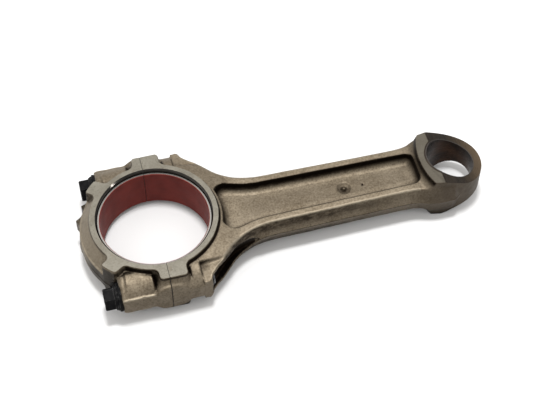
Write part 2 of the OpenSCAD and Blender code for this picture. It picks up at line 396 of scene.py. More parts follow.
def surface_net(field, xs, ys, zs):
    """A closed quad mesh of the field's zero surface: one vertex in each cell that the surface crosses."""
    value = field(xs[:, None, None], ys[None, :, None], zs[None, None, :]).astype(np.float32)
    inside = value < 0
    grids = (xs, ys, zs)
    cells = np.array(value.shape) - 1
    total = np.zeros((cells.prod(), 4))
    crossings = []
    for axis in range(3):
        a = [slice(None)] * 3
        b = [slice(None)] * 3
        a[axis] = slice(None, -1)
        b[axis] = slice(1, None)
        index = np.argwhere(inside[tuple(a)] != inside[tuple(b)])
        step = np.eye(3, dtype=int)[axis]
        v0 = value[tuple(index.T)]
        v1 = value[tuple((index + step).T)]
        point = np.stack([g[i] for g, i in zip(grids, index.T)], 1).astype(float)
        span = grids[axis][index[:, axis] + 1] - grids[axis][index[:, axis]]
        point[:, axis] += span * v0 / (v0 - v1)
        u = np.eye(3, dtype=int)[(axis + 1) % 3]
        w = np.eye(3, dtype=int)[(axis + 2) % 3]
        around = [index - du * u - dw * w for du, dw in ((0, 0), (1, 0), (1, 1), (0, 1))]
        keys = [np.ravel_multi_index(tuple(c.T), cells) for c in around]
        for key in keys:
            for k in range(3):
                total[:, k] += np.bincount(key, point[:, k], len(total))
            total[:, 3] += np.bincount(key, minlength=len(total))
        quad = np.stack(keys, 1)
        quad[v0 > 0] = quad[v0 > 0][:, ::-1]
        crossings.append(quad)
    used = total[:, 3] > 0
    number = np.cumsum(used) - 1
    verts = total[used, :3] / total[used, 3:]
    return verts, number[np.vstack(crossings)]


def mesh_object(name, verts, faces):
    """A Blender object from vertices in millimetres."""
    mesh = bpy.data.meshes.new(name)
    verts = np.asarray(verts, float) * MM
    faces = np.asarray(faces)
    mesh.vertices.add(len(verts))
    mesh.vertices.foreach_set("co", verts.ravel())
    mesh.loops.add(faces.size)
    mesh.loops.foreach_set("vertex_index", faces.ravel())
    mesh.polygons.add(len(faces))
    mesh.polygons.foreach_set("loop_start", np.arange(0, faces.size, faces.shape[1]))
    mesh.update(calc_edges=True)
    obj = bpy.data.objects.new(name, mesh)
    bpy.context.scene.collection.objects.link(obj)
    return obj


def apply_modifiers(obj):
    """Makes what the object's modifiers give its own mesh."""
    graph = bpy.context.evaluated_depsgraph_get()
    made = bpy.data.meshes.new_from_object(obj.evaluated_get(graph))
    old = obj.data
    obj.modifiers.clear()
    obj.data = made
    bpy.data.meshes.remove(old)


def thin_out(obj, share):
    """Merges faces where the surface is flat enough, down to that share of them."""
    modifier = obj.modifiers.new("thin", "DECIMATE")
    modifier.ratio = share
    apply_modifiers(obj)


def combine(obj, tool, operation="DIFFERENCE"):
    """Cuts the tool from the object, or joins it on, and removes the tool."""
    modifier = obj.modifiers.new("cut", "BOOLEAN")
    modifier.operation = operation
    modifier.object = tool
    modifier.solver = "MANIFOLD"
    apply_modifiers(obj)
    bpy.data.objects.remove(tool)


def revolve(name, profile, centre=(0, 0), n=192, start=0.0, turn=360.0):
    """Turns a closed (radius, height) outline about Z through centre. A part turn gets flat ends."""
    full = turn >= 360
    angles = np.radians(start + np.linspace(0, turn, n, endpoint=not full))
    radius, height = np.array(profile, float).T
    m = len(profile)
    ring = np.stack([
        np.outer(np.cos(angles), radius) + centre[0],
        np.outer(np.sin(angles), radius) + centre[1],
        np.broadcast_to(height, (n, m)),
    ], 2)
    i, j = np.meshgrid(np.arange(n if full else n - 1), np.arange(m), indexing="ij")
    i2 = (i + 1) % n
    j2 = (j + 1) % m
    quads = np.stack([i * m + j, i2 * m + j, i2 * m + j2, i * m + j2], 2).reshape(-1, 4)
    obj = mesh_object(name, ring.reshape(-1, 3), quads)
    close_and_turn_out(obj)
    return obj


def close_and_turn_out(obj):
    """Caps open ends and points all faces outwards."""
    work = bmesh.new()
    work.from_mesh(obj.data)
    bmesh.ops.remove_doubles(work, verts=work.verts, dist=1e-8)
    bmesh.ops.holes_fill(work, edges=[e for e in work.edges if e.is_boundary], sides=0)
    bmesh.ops.recalc_face_normals(work, faces=work.faces)
    work.to_mesh(obj.data)
    work.free()


def prism(name, outline, depth, to_world):
    """Extrudes an outline by depth both ways; to_world turns its (u, v, w) into x, y, z."""
    m = len(outline)
    verts = [to_world(u, v, w) for w in (-depth, depth) for u, v in outline]
    quads = [(k, (k + 1) % m, m + (k + 1) % m, m + k) for k in range(m)]
    obj = mesh_object(name, verts, quads)
    close_and_turn_out(obj)
    return obj


def round_bar(name, r, low, high, y, mouth=0.0):
    """A bar along X between low and high, whose low end opens out by mouth if that isn't zero."""
    flare = [(r + mouth + 1, low - 1)] if mouth else []
    profile = [(0, low - 1), *flare, (r, low + mouth), (r, high), (0, high)]
    obj = revolve(name, profile, n=96)
    obj.data.transform(Matrix.Rotation(math.pi / 2, 4, "Y"))
    obj.data.transform(Matrix.Translation((0, y * MM, 0)))
    return obj


def face_off(obj):
    """Machines both thrust faces flat."""
    box = [(-200, -200), (400, -200), (400, 200), (-200, 200)]
    for side in (-1, 1):
        combine(obj, prism("face", box, 10, lambda u, v, w: (u, v, side * (HALF_T + 10) + w)))


def bore_housing(obj):
    """Bores the big end and chamfers its rims."""
    end = HALF_T + 2
    wide = HOUSING_R + HOUSING_CHAMFER + 2
    edge = HALF_T - HOUSING_CHAMFER
    profile = [(0, -end), (wide, -end), (HOUSING_R, -edge), (HOUSING_R, edge), (wide, end), (0, end)]
    combine(obj, revolve("bore", profile, n=256))


def taper_outline():
    """The hollow taper of the small end, seen along Y, with spare height."""
    x, drop = np.array(TAPER, float).T
    curve = smooth([(BREAK_X + u, HALF_T - v) for u, v in zip(x, drop)], 8)
    return [(BREAK_X, HALF_T + 3), *curve, (BREAK_X + 60, HALF_T - drop[-1]), (BREAK_X + 60, HALF_T + 3)]


def cut_tapers(obj):
    """Cuts the hollow tapers into both faces of the small end."""
    for side in (-1, 1):
        combine(obj, prism("taper", taper_outline(), 60, lambda u, v, w: (u, w, side * v)))


# --- materials ---


class Nodes:
    """Short names for building a material's nodes."""

    def __init__(self, name):
        self.material = bpy.data.materials.new(name)
        self.material.use_nodes = True
        self.tree = self.material.node_tree
        self.shader = self.tree.nodes["Principled BSDF"]

    def add(self, kind, inputs=(), **settings):
        """A new node with its inputs, each a value or another node's output, and its settings."""
        node = self.tree.nodes.new("ShaderNode" + kind)
        for key, value in settings.items():
            setattr(node, key, value)
        for key, value in dict(inputs).items():
            self.join(value, node.inputs[key])
        return node

    def join(self, value, socket):
        if isinstance(value, bpy.types.NodeSocket):
            self.tree.links.new(value, socket)
        else:
            socket.default_value = value

    def object_place(self):
        return self.add("TexCoord").outputs["Object"]

    def along(self, axis):
        """The object's own coordinate along that axis, in metres."""
        return self.split(self.object_place()).outputs[axis]

    def noise(self, size, detail=4, rough=0.6, stretch=(1, 1, 1)):
        """Noise whose lumps are about size millimetres, longer where stretch is below 1."""
        factor = [s / (size * MM) for s in stretch]
        scaled = self.add("Mapping", {"Vector": self.object_place(), "Scale": factor}).outputs[0]
        look = {"Vector": scaled, "Scale": 1.0, "Detail": detail, "Roughness": rough}
        return self.add("TexNoise", look).outputs["Fac"]

    def math(self, kind, a, b=0.0):
        return self.add("Math", {0: a, 1: b}, operation=kind).outputs[0]

    def times(self, first, *others):
        for other in others:
            first = self.math("MULTIPLY", first, other)
        return first

    def size_of(self, value):
        return self.math("ABSOLUTE", value)

    def ramp(self, value, low, high, to_low=0.0, to_high=1.0):
        """Takes the value from low...high to to_low...to_high, and holds it there outside them."""
        ends = {"From Min": low, "From Max": high, "To Min": to_low, "To Max": to_high}
        return self.add("MapRange", {"Value": value, **ends}).outputs[0]

    def mix(self, share, a, b):
        """The colour a with that share of the colour b mixed in."""
        made = self.add("Mix", data_type="RGBA")
        for value, socket in ((share, made.inputs[0]), (a, made.inputs[6]), (b, made.inputs[7])):
            self.join((*value, 1.0) if isinstance(value, tuple) else value, socket)
        return made.outputs[2]

    def split(self, vector):
        return self.add("SeparateXYZ", {0: vector})

    def stored(self, name):
        """What store() left on the mesh under that name."""
        return self.add("Attribute", attribute_name=name).outputs["Fac"]

    def painted_shade(self, colour, shade_colour, reach=10.0, deepest=0.38, clear=0.92, with_stored=True):
        """Paints shade into the colour where surfaces within reach millimetres shut it in, and where the
        amount stored on the mesh says: painted shade, and the joint's oily black.
        """
        open_share = self.add("AmbientOcclusion", {"Distance": reach * MM}, samples=8).outputs["AO"]
        uneven = self.math("ADD", open_share, self.ramp(self.noise(3, 4, 0.7), 0.3, 0.7, -0.10, 0.10))
        closed = self.ramp(uneven, deepest, clear, 1.0, 0.0)
        if not with_stored:
            return self.mix(closed, colour, shade_colour)
        patchy = self.times(self.stored("shade_and_seam"), self.ramp(self.noise(2.5, 4, 0.7), 0.25, 0.5, 0.88, 1.0))
        return self.mix(self.math("MAXIMUM", closed, patchy), colour, shade_colour)

    def bump(self, height, strength, distance):
        """A normal from that height, its full depth the distance in millimetres."""
        made = self.add("Bump", {"Height": height, "Strength": strength, "Distance": distance * MM})
        return made.outputs[0]

    def finish(self, colour, roughness, metallic, normal=None):
        self.join(colour, self.shader.inputs["Base Color"])
        self.join(roughness, self.shader.inputs["Roughness"])
        self.shader.inputs["Metallic"].default_value = metallic
        if normal is not None:
            self.join(normal, self.shader.inputs["Normal"])
        return self.material


def forged_steel():
    """Shot-peened forging: brown and speckled, with worn edges, darker patches, and painted shade and
    highlights.
    """
    n = Nodes("forged_steel")
    cloud = n.noise(26, 5, 0.6)
    blotch = n.noise(6, 6, 0.7)
    peen = n.noise(1.8, 4, 0.7)
    grit = n.noise(0.45, 2, 0.5)
    colour = n.mix(n.ramp(cloud, 0.35, 0.68), (0.108, 0.086, 0.059), (0.155, 0.128, 0.093))
    colour = n.mix(n.ramp(blotch, 0.52, 0.8, 0, 0.55), colour, (0.070, 0.052, 0.034))
    colour = n.mix(n.ramp(peen, 0.45, 0.72, 0, 0.55), colour, (0.24, 0.205, 0.155))
    colour = n.mix(n.ramp(peen, 0.46, 0.30, 0, 0.6), colour, (0.055, 0.042, 0.030))
    speck = n.ramp(n.noise(2.6, 2, 0.5), 0.70, 0.77)
    colour = n.mix(n.times(speck, 0.7), colour, (0.035, 0.025, 0.017))
    # painted shade: a thin dark line in the crease at the parting, except on the flanks and the small end
    level = n.size_of(n.along("Z"))
    steep = n.ramp(n.size_of(n.split(n.add("NewGeometry").outputs["Normal"]).outputs["Z"]), 0.8, 0.5)
    before_small_end = n.ramp(n.along("X"), 0.238, 0.230)
    inside_flanks = n.ramp(n.size_of(n.along("Y")), 0.066, 0.060)
    crease_shade = n.times(n.ramp(level, 0.65 * MM, 0.3 * MM), steep, before_small_end, inside_flanks)
    colour = n.mix(n.times(crease_shade, 0.85), colour, (0.012, 0.009, 0.007))
    # steep walls are painted darker than tops, as shade; and patches darken the shank's sides under their top
    # edges
    colour = n.mix(n.times(steep, 0.14), colour, (0.030, 0.020, 0.012))
    under_edge = n.ramp(level, 3.0 * MM, 8.5 * MM, 0.0, 0.9)
    on_shank = n.ramp(n.along("X"), 0.042, 0.055)
    less_far_out = n.ramp(n.along("X"), 0.230, 0.150, 0.15, 1.0)
    patches = n.ramp(n.noise(4, 5, 0.75, (0.5, 1, 1)), 0.36, 0.56, 0.35, 1.0)
    factor = n.times(steep, under_edge, on_shank, less_far_out, patches)
    colour = n.mix(factor, colour, (0.012, 0.008, 0.005))
    # metal rubbed bright along edges, and a painted highlight over the cap's slopes
    rubbed_and_lit = n.times(n.stored("wear_and_highlight"), n.ramp(blotch, 0.35, 0.6, 0.25, 0.75))
    colour = n.mix(rubbed_and_lit, colour, (0.27, 0.235, 0.18))
    # heat has browned the small end
    browned = n.ramp(n.along("X"), 0.228, 0.262, 0.0, 0.72)
    brown = n.mix(n.ramp(cloud, 0.3, 0.7), (0.036, 0.028, 0.021), (0.058, 0.045, 0.034))
    colour = n.mix(browned, colour, brown)
    # painted shade where nearby surfaces close in, and where the stored amount says
    colour = n.painted_shade(colour, (0.0065, 0.0040, 0.0024))
    rough = n.ramp(blotch, 0.3, 0.7, 0.50, 0.64)
    n.shader.inputs["Specular IOR Level"].default_value = 0.1
    height = n.math("ADD", n.times(peen, 0.7), n.times(grit, 0.35))
    return n.finish(colour, rough, 0.92, n.bump(height, 0.55, 0.22))


def machined_steel():
    """Ground thrust faces: lighter than the forging, with fine grain, small pits and stains."""
    n = Nodes("machined_steel")
    fine = n.noise(0.7, 3, 0.6, (0.35, 1, 1))
    cloud = n.noise(14, 4, 0.6)
    colour = n.mix(n.ramp(cloud, 0.35, 0.7), (0.115, 0.106, 0.086), (0.155, 0.145, 0.120))
    colour = n.mix(n.ramp(fine, 0.45, 0.75, 0, 0.5), colour, (0.07, 0.061, 0.048))
    pits = n.ramp(n.noise(2.2, 3, 0.7), 0.60, 0.68)
    colour = n.mix(n.times(pits, 0.6), colour, (0.055, 0.046, 0.035))
    grain = n.noise(1.6, 3, 0.7)
    colour = n.mix(n.ramp(grain, 0.50, 0.72, 0, 0.4), colour, (0.20, 0.19, 0.165))
    stain = n.ramp(n.noise(5, 5, 0.7), 0.60, 0.78, 0, 0.6)
    colour = n.mix(stain, colour, (0.09, 0.066, 0.044))
    # browner and duller on the small end
    far = n.ramp(n.along("X"), 0.22, 0.245)
    colour = n.mix(n.times(far, 0.65), colour, (0.044, 0.037, 0.028))
    # painted shade in the faces' corners, within 2 mm
    colour = n.painted_shade(colour, (0.03, 0.024, 0.018), 2.0, 0.5, 0.9, with_stored=False)
    # the joint, a wandering hairline
    wander = n.ramp(n.noise(3, 4, 0.7, (0, 1, 1)), 0.3, 0.7, -0.2 * MM, 0.2 * MM)
    crack = n.ramp(n.size_of(n.math("ADD", n.along("X"), wander)), 0.16 * MM, 0.36 * MM, 1.0, 0.0)
    colour = n.mix(n.times(crack, 0.9), colour, (0.008, 0.006, 0.005))
    rough = n.ramp(cloud, 0.3, 0.7, 0.42, 0.55)
    n.shader.inputs["Specular IOR Level"].default_value = 0.15
    return n.finish(colour, rough, 0.9, n.bump(fine, 0.4, 0.08))


def bored_steel():
    """Bored and chamfered surfaces around the shells: dark and glossy, with turning marks."""
    n = Nodes("bored_steel")
    marks = n.noise(0.35, 2, 0.5, (0.05, 0.05, 1))
    colour = n.mix(n.ramp(marks, 0.3, 0.7), (0.022, 0.020, 0.018), (0.050, 0.046, 0.042))
    return n.finish(colour, n.ramp(marks, 0.3, 0.7, 0.10, 0.18), 1.0, n.bump(marks, 0.3, 0.03))


def tapered_steel():
    """The machined tapers of the small end, browned and oiled, with a painted highlight towards the nose."""
    n = Nodes("tapered_steel")
    lines = n.noise(0.8, 3, 0.6, (1, 0.08, 1))
    cloud = n.noise(12, 5, 0.65)
    colour = n.mix(n.ramp(cloud, 0.35, 0.7), (0.014, 0.011, 0.009), (0.034, 0.026, 0.019))
    colour = n.mix(n.ramp(lines, 0.5, 0.8, 0, 0.5), colour, (0.060, 0.046, 0.033))
    # painted highlight, lighter towards the nose
    tip = n.ramp(n.along("X"), 0.280, 0.306, 0.0, 0.7)
    colour = n.mix(tip, colour, (0.100, 0.072, 0.045))
    return n.finish(colour, n.ramp(lines, 0.3, 0.7, 0.25, 0.4), 0.9, n.bump(lines, 0.35, 0.08))


def cracked_steel():
    """The fracture face of the joint: coarse bright grain."""
    n = Nodes("cracked_steel")
    grain = n.noise(0.9, 6, 0.8)
    colour = n.mix(n.ramp(grain, 0.35, 0.7), (0.10, 0.095, 0.09), (0.20, 0.195, 0.19))
    return n.finish(colour, 0.5, 0.9, n.bump(grain, 0.9, 0.5))


def shell_steel():
    """The shells' steel backs, bright at the rims."""
    n = Nodes("shell_steel")
    marks = n.noise(0.5, 3, 0.6, (1, 1, 0.2))
    colour = n.mix(n.ramp(marks, 0.35, 0.7), (0.19, 0.18, 0.165), (0.29, 0.275, 0.26))
    return n.finish(colour, n.ramp(marks, 0.3, 0.7, 0.22, 0.34), 0.9, n.bump(marks, 0.25, 0.03))


def lining_coat():
    """The sprayed red-brown running layer of the shells."""
    n = Nodes("lining_coat")
    cloud = n.noise(18, 4, 0.55)
    bands = n.noise(1.3, 3, 0.6, (0.06, 0.06, 1))
    grain = n.noise(0.35, 3, 0.6)
    colour = n.mix(n.ramp(cloud, 0.35, 0.68), (0.094, 0.0110, 0.0075), (0.138, 0.0185, 0.0130))
    colour = n.mix(n.ramp(bands, 0.45, 0.75, 0, 0.35), colour, (0.18, 0.028, 0.020))
    colour = n.mix(n.ramp(grain, 0.5, 0.8, 0, 0.35), colour, (0.06, 0.010, 0.007))
    rough = n.ramp(bands, 0.3, 0.7, 0.52, 0.66)
    height = n.math("ADD", grain, bands)
    n.shader.inputs["Specular IOR Level"].default_value = 0.12
    return n.finish(colour, rough, 0.0, n.bump(height, 0.35, 0.04))


def bush_bronze():
    """The bush's running face: dark, oiled bronze with rings of wear."""
    n = Nodes("bush_bronze")
    bands = n.noise(1.6, 4, 0.6, (0.08, 0.08, 1))
    cloud = n.noise(12, 4, 0.6)
    colour = n.mix(n.ramp(cloud, 0.35, 0.7), (0.007, 0.0034, 0.0019), (0.027, 0.012, 0.0056))
    colour = n.mix(n.ramp(bands, 0.5, 0.8, 0, 0.5), colour, (0.055, 0.028, 0.015))
    return n.finish(colour, n.ramp(bands, 0.3, 0.7, 0.22, 0.4), 1.0, n.bump(bands, 0.3, 0.05))


def bush_steel():
    """Dull grey steel, on the bush's back and the rims of the linings."""
    n = Nodes("bush_steel")
    marks = n.noise(0.6, 3, 0.6)
    colour = n.mix(n.ramp(marks, 0.35, 0.7), (0.034, 0.030, 0.027), (0.068, 0.061, 0.055))
    return n.finish(colour, n.ramp(marks, 0.3, 0.7, 0.28, 0.4), 0.9, n.bump(marks, 0.3, 0.04))


def black_steel():
    """Black oxide, with bare metal painted along the edges as wear and as glints."""
    n = Nodes("black_steel")
    cloud = n.noise(4, 5, 0.65)
    grit = n.noise(0.5, 3, 0.6)
    rounded = n.add("Bevel", {"Radius": 0.45 * MM}, samples=4).outputs[0]
    true_normal = n.add("NewGeometry").outputs["True Normal"]
    flatness = n.add("VectorMath", {0: rounded, 1: true_normal}, operation="DOT_PRODUCT").outputs["Value"]
    # edges lighter: wear, and painted glints
    worn_and_glint = n.times(n.ramp(flatness, 0.985, 0.90), n.ramp(cloud, 0.45, 0.65))
    colour = n.mix(n.ramp(cloud, 0.35, 0.7), (0.0035, 0.0035, 0.0038), (0.008, 0.0078, 0.008))
    colour = n.mix(worn_and_glint, colour, (0.12, 0.118, 0.115))
    rough = n.ramp(grit, 0.3, 0.7, 0.42, 0.58)
    n.shader.inputs["Specular IOR Level"].default_value = 0.02
    return n.finish(colour, rough, 0.0, n.bump(grit, 0.4, 0.06))


def thread_steel():
    """The bare grey thread of a bolt."""
    n = Nodes("thread_steel")
    grit = n.noise(0.8, 4, 0.6)
    colour = n.mix(n.ramp(grit, 0.35, 0.7), (0.06, 0.06, 0.062), (0.20, 0.20, 0.205))
    return n.finish(colour, n.ramp(grit, 0.3, 0.7, 0.28, 0.42), 1.0, n.bump(grit, 0.3, 0.05))


materials = {
    make.__name__: make()
    for make in (
        forged_steel, machined_steel, bored_steel, tapered_steel, cracked_steel, shell_steel, lining_coat,
        bush_bronze, bush_steel, black_steel, thread_steel,
    )
}


def paint(obj, rules):
    """Gives each face the last material whose test it passes. Tests take centres in mm, and normals."""
    mesh = obj.data
    count = len(mesh.polygons)
    centre = np.empty(count * 3)
    normal = np.empty(count * 3)
    mesh.polygons.foreach_get("center", centre)
    mesh.polygons.foreach_get("normal", normal)
    centre = centre.reshape(-1, 3) / MM
    normal = normal.reshape(-1, 3)
    slots = np.zeros(count, np.int32)
    mesh.materials.clear()
    for k, (name, test) in enumerate(rules):
        mesh.materials.append(materials[name])
        slots[test(centre, normal)] = k
    mesh.polygons.foreach_set("material_index", slots)


def shade(obj):
    """Smooth shading that keeps real edges sharp."""
    obj.data.shade_smooth()
    obj.data.set_sharp_from_angle(angle=math.radians(32))


def everywhere(c, n):
    return np.ones(len(c), bool)


def on_thrust_face(c, n):
    return (np.abs(n[:, 2]) > 0.999) & (np.abs(np.abs(c[:, 2]) - HALF_T) < 0.01)


def in_housing(c, n):
    return (np.hypot(c[:, 0], c[:, 1]) < HOUSING_R + 1.4) & (np.abs(n[:, 2]) < 0.9)


def on_joint(c, n):
    return (np.abs(c[:, 0]) < 1.0) & (np.abs(n[:, 0]) > 0.75)


def store(obj, name, amount):
    """Stores on each vertex what amount gives there, between 0 and 1, for the materials to read."""
    mesh = obj.data
    co = np.empty(len(mesh.vertices) * 3)
    mesh.vertices.foreach_get("co", co)
    x, y, z = co.reshape(-1, 3).T / MM
    made = mesh.attributes.new(name, "FLOAT", "POINT")
    made.data.foreach_set("value", np.clip(amount(x, np.abs(y), np.abs(z)), 0, 1).astype(np.float32))


# stored on the meshes: shade painted dark into recesses and onto walls, with the joint's oily black edge; and
# metal rubbed bright along edges, with a painted highlight on the cap's slopes


def rod_wear(x, a, h):
    edge = near(shank_side(x, a, h), 1.1, 1.7) * near(h - shoulder_top(np.hypot(x, a)), 1.1, 1.7)
    return edge * (x > 34) * (x < 240)


def cap_wear_and_highlight(x, a, h):
    r = np.hypot(x, a)
    edge = near(a - FLANK_Y, 1.2, 1.7) * near(h - 9.3, 1.0, 1.7) * (x < -14)
    rim = near(r - RIM_R - 0.1, 1.0, 1.7) * near(h - RIM_H, 1.0, 1.7) * (a < 44)
    # painted highlight: the slopes on the cap's back lightened all over
    slope = 0.6 * climb(r - RING_R, 1) * climb(SECTOR - np.degrees(np.arctan2(a, -x)), 4)
    return np.maximum.reduce([edge, rim, slope])


def seam(x):
    """The joint's edge, black with oil."""
    return near(x, 0.3, 1.9)


def painted_wall_shade(x, a, h, draft):
    """Painted shade on the walls that drop from the thrust faces."""
    low = np.where(np.abs(x - 2) < 15, 20.6, 16.5)
    wall = near(thrust_plan(x, a) - draft * (HALF_T - h), 0.8, 1.6)
    return wall * climb(HALF_T - 0.4 - h, 0.8) * climb(h - low, 1.2)


def rod_shade_and_seam(x, a, h):
    # painted shade round the pocket's wall, wider at its two ends, and lightly over the web
    off = pocket_wall(x, a, h)
    inward = 1.2 + 3.2 * climb(x - 229, 8) + 1.6 * climb(74 - x, 8)
    pocket = np.clip(1.6 - 1.6 * np.maximum(-off / inward, off / 1.3), 0, 1)
    pocket = pocket * climb(h - 7, 4) * climb(16.6 - h, 0.5)
    floor = 0.26 * climb(-8 - off, 2) * (h < 9) * climb(x - 70, 20)
    # painted shade inside the groove along the shoulder
    groove = np.clip(1.5 - plan(x, a, CHANNEL), 0, 1) * climb(channel_h(x) + 1.2 - h, 0.8)
    groove = groove * climb(-0.5 - shank_side(x, a, h), 0.8) * (x < 84) * (x > 36)
    # painted shade on the small end's step
    lip = near(small_end_step(x, a, h), 0.9, 1.3)
    lip = lip * climb(HALF_T - 0.3 - h, 0.6) * (x > 240) * climb(h - 18, 3)
    # painted shade round the dimple's middle, and in the pit beside it
    crater = 0.9 * near(np.hypot(x - DIMPLE_X, a) - 2.5, 1.1, 1.5)
    crater = np.maximum(crater, near(np.hypot(x - DOT_X, a - 0.4), 0.9, 1.6)) * (h < 9)
    # painted shade on the walls that drop from the ring
    walls = painted_wall_shade(x, a, h, 0.16) * (x < 80)
    return np.maximum.reduce([walls, pocket, groove, lip, floor, crater, seam(x)])


def cap_shade_and_seam(x, a, h):
    r = np.hypot(x, a)
    angle = np.degrees(np.arctan2(a, -x))
    # painted shade at the foot of the ring, beside the slopes
    foot = 0.75 * near(r - RING_R - 0.3, 0.7, 1.5) * climb(HALF_T - 0.4 - h, 0.6)
    foot = foot * climb(SECTOR - 3 - angle, 4)
    # painted shade on the back wall, more towards the bolts
    top = np.where(angle < SECTOR, RIM_H - 0.8, HALF_T - 2)
    back = climb(r - 64.6, 0.8) * climb(top - h, 1) * (a < 51)
    back = back * (0.2 + 0.65 * climb(angle - 10, 14))
    return np.maximum.reduce([painted_wall_shade(x, a, h, 0.1) * (x > -36), foot, back, seam(x)])


def place(obj, body, node):
    """Puts a finished piece on its body, in place of its CAD node."""
    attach(obj, body)
    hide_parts(node)


# --- rod ---

rod_grid = (
    steps(-2.0, NOSE_X + 2, [(0, 1.4, 0.3), (17.5, 2.5, 0.5)]),
    steps(-FLANK_Y - 3, FLANK_Y + 3),
    steps(-HALF_T - 2.1, HALF_T + 2.1, [(0, 1.2, 0.4)]),
)
rod_piece = mesh_object("rod_forging", *surface_net(rod_skin, *rod_grid))
thin_out(rod_piece, 0.38)
face_off(rod_piece)
cut_tapers(rod_piece)
bore_housing(rod_piece)
small_bore = [(0, -40), (SMALL_BORE_R, -40), (SMALL_BORE_R, 40), (0, 40)]
combine(rod_piece, revolve("bore", small_bore, (CENTRES, 0)))
for bolt_side in (-1, 1):
    combine(rod_piece, round_bar("hole", THREAD_HOLE_R, -0.2, 60, bolt_side * BOLT_Y, 0.9))
taper_x, taper_z = np.array(taper_outline()[1:-2]).T


def on_taper(c, n):
    height = np.interp(c[:, 0], taper_x, taper_z)
    return (c[:, 0] > BREAK_X) & (np.abs(np.abs(c[:, 2]) - height) < 0.12) & (np.abs(n[:, 2]) > 0.5)


def in_small_bore(c, n):
    return (np.hypot(c[:, 0] - CENTRES, c[:, 1]) < SMALL_BORE_R + 0.05) & (np.abs(n[:, 2]) < 0.3)


def in_bolt_hole(c, n):
    return np.hypot(np.abs(c[:, 1]) - BOLT_Y, c[:, 2]) < HOLE_R + 0.1


paint(rod_piece, [
    ("forged_steel", everywhere), ("cracked_steel", on_joint), ("machined_steel", on_thrust_face),
    ("bored_steel", in_housing), ("bored_steel", in_small_bore), ("bored_steel", in_bolt_hole),
    ("tapered_steel", on_taper),
])
store(rod_piece, "shade_and_seam", rod_shade_and_seam)
store(rod_piece, "wear_and_highlight", rod_wear)
shade(rod_piece)
place(rod_piece, "rod", "rod_body")

# --- cap ---

cap_grid = (
    steps(-75, 2.0, [(0, 1.4, 0.3), (-37.3, 1.0, 0.4)]),
    steps(-FLANK_Y - 3, FLANK_Y + 3),
    steps(-HALF_T - 2.1, HALF_T + 2.1, [(0, 1.2, 0.4)]),
)
cap_piece = mesh_object("cap_forging", *surface_net(cap_skin, *cap_grid))
thin_out(cap_piece, 0.5)
face_off(cap_piece)
bore_housing(cap_piece)
for bolt_side in (-1, 1):
    combine(cap_piece, round_bar("hole", HOLE_R, -60, 2, bolt_side * BOLT_Y))
    combine(cap_piece, round_bar("spot_face", SPOT_R, -100, -SEAT_X, bolt_side * BOLT_Y))


def on_seat(c, n):
    around = np.hypot(np.abs(c[:, 1]) - BOLT_Y, c[:, 2])
    return (c[:, 0] < -SEAT_X + 0.05) & (around < SPOT_R + 0.05) & (np.abs(c[:, 1]) > 44)


paint(cap_piece, [
    ("forged_steel", everywhere), ("cracked_steel", on_joint), ("machined_steel", on_thrust_face),
    ("bored_steel", in_housing), ("bored_steel", in_bolt_hole), ("bored_steel", on_seat),
])
store(cap_piece, "shade_and_seam", cap_shade_and_seam)
store(cap_piece, "wear_and_highlight", cap_wear_and_highlight)
shade(cap_piece)
place(cap_piece, "cap", "bearing_cap")

# --- bearing shells ---


def half_ring(name, side, inner, outer, chamfer_in, chamfer_out):
    """Half a shell layer, chamfered at its rims and eased at the joint."""
    t = SHELL_W / 2
    low_inner, high_inner = inner, inner + chamfer_in
    low_outer, high_outer = outer - chamfer_out, outer
    section = [
        (low_inner, chamfer_in - t), (high_inner, -t), (low_outer, -t), (high_outer, chamfer_out - t),
        (high_outer, t - chamfer_out), (low_outer, t), (high_inner, t), (low_inner, t - chamfer_in),
    ]
    gap = math.degrees(0.22 / inner)
    obj = revolve(name, section, n=145, start=-90 + gap, turn=180 - 2 * gap)
    bevel = obj.modifiers.new("ease", "BEVEL")
    bevel.width = 0.25 * MM
    bevel.segments = 1
    bevel.limit_method = "ANGLE"
    bevel.angle_limit = math.radians(60)
    apply_modifiers(obj)
    if side < 0:
        obj.data.transform(Matrix.Rotation(math.pi, 4, "Z"))
    obj.data.materials.clear()
    return obj


def on_outer_chamfer(c, n):
    lean = np.abs(n[:, 2])
    return (np.hypot(c[:, 0], c[:, 1]) > HOUSING_R - 0.6) & (lean > 0.5) & (lean < 0.9)


for body, side in (("rod", 1), ("cap", -1)):
    back = half_ring(f"{body}_shell_steel", side, BACK_R, HOUSING_R, 0.02, 0.6)
    paint(back, [("shell_steel", everywhere), ("bush_steel", on_outer_chamfer)])
    shade(back)
    place(back, body, f"{body}_shell_back")
    coat = half_ring(f"{body}_shell_coat", side, LINING_R, BACK_R, 0.3, 0.02)
    paint(coat, [("lining_coat", everywhere)])
    shade(coat)
    place(coat, body, f"{body}_shell_lining")

# --- bush ---


def bush_layer(name, inner, outer):
    profile = [(inner, -HALF_T), (outer, -HALF_T), (outer, HALF_T), (inner, HALF_T)]
    obj = revolve(name, profile, (CENTRES, 0), 144)
    cut_tapers(obj)
    return obj


def on_end(c, n):
    return np.abs(n[:, 2]) > 0.4


bush_pieces = (
    ("bush_shell", "bush_back", BUSH_BACK_R, SMALL_BORE_R, "bush_steel", "tapered_steel"),
    ("bush_face", "bush_lining", BUSH_R, BUSH_BACK_R, "bush_bronze", "bush_steel"),
)
for piece_name, node, inner, outer, material, end_material in bush_pieces:
    layer = bush_layer(piece_name, inner, outer)
    paint(layer, [(material, everywhere), (end_material, on_end)])
    shade(layer)
    place(layer, "rod", node)

# --- washers and bolts, built with their seats at the origin and their heads up, then laid along X ---


def lay_on_seat(obj, side):
    obj.data.transform(Matrix.Rotation(-math.pi / 2, 4, "Y"))
    obj.data.transform(Matrix.Translation((-SEAT_X * MM, side * BOLT_Y * MM, 0)))


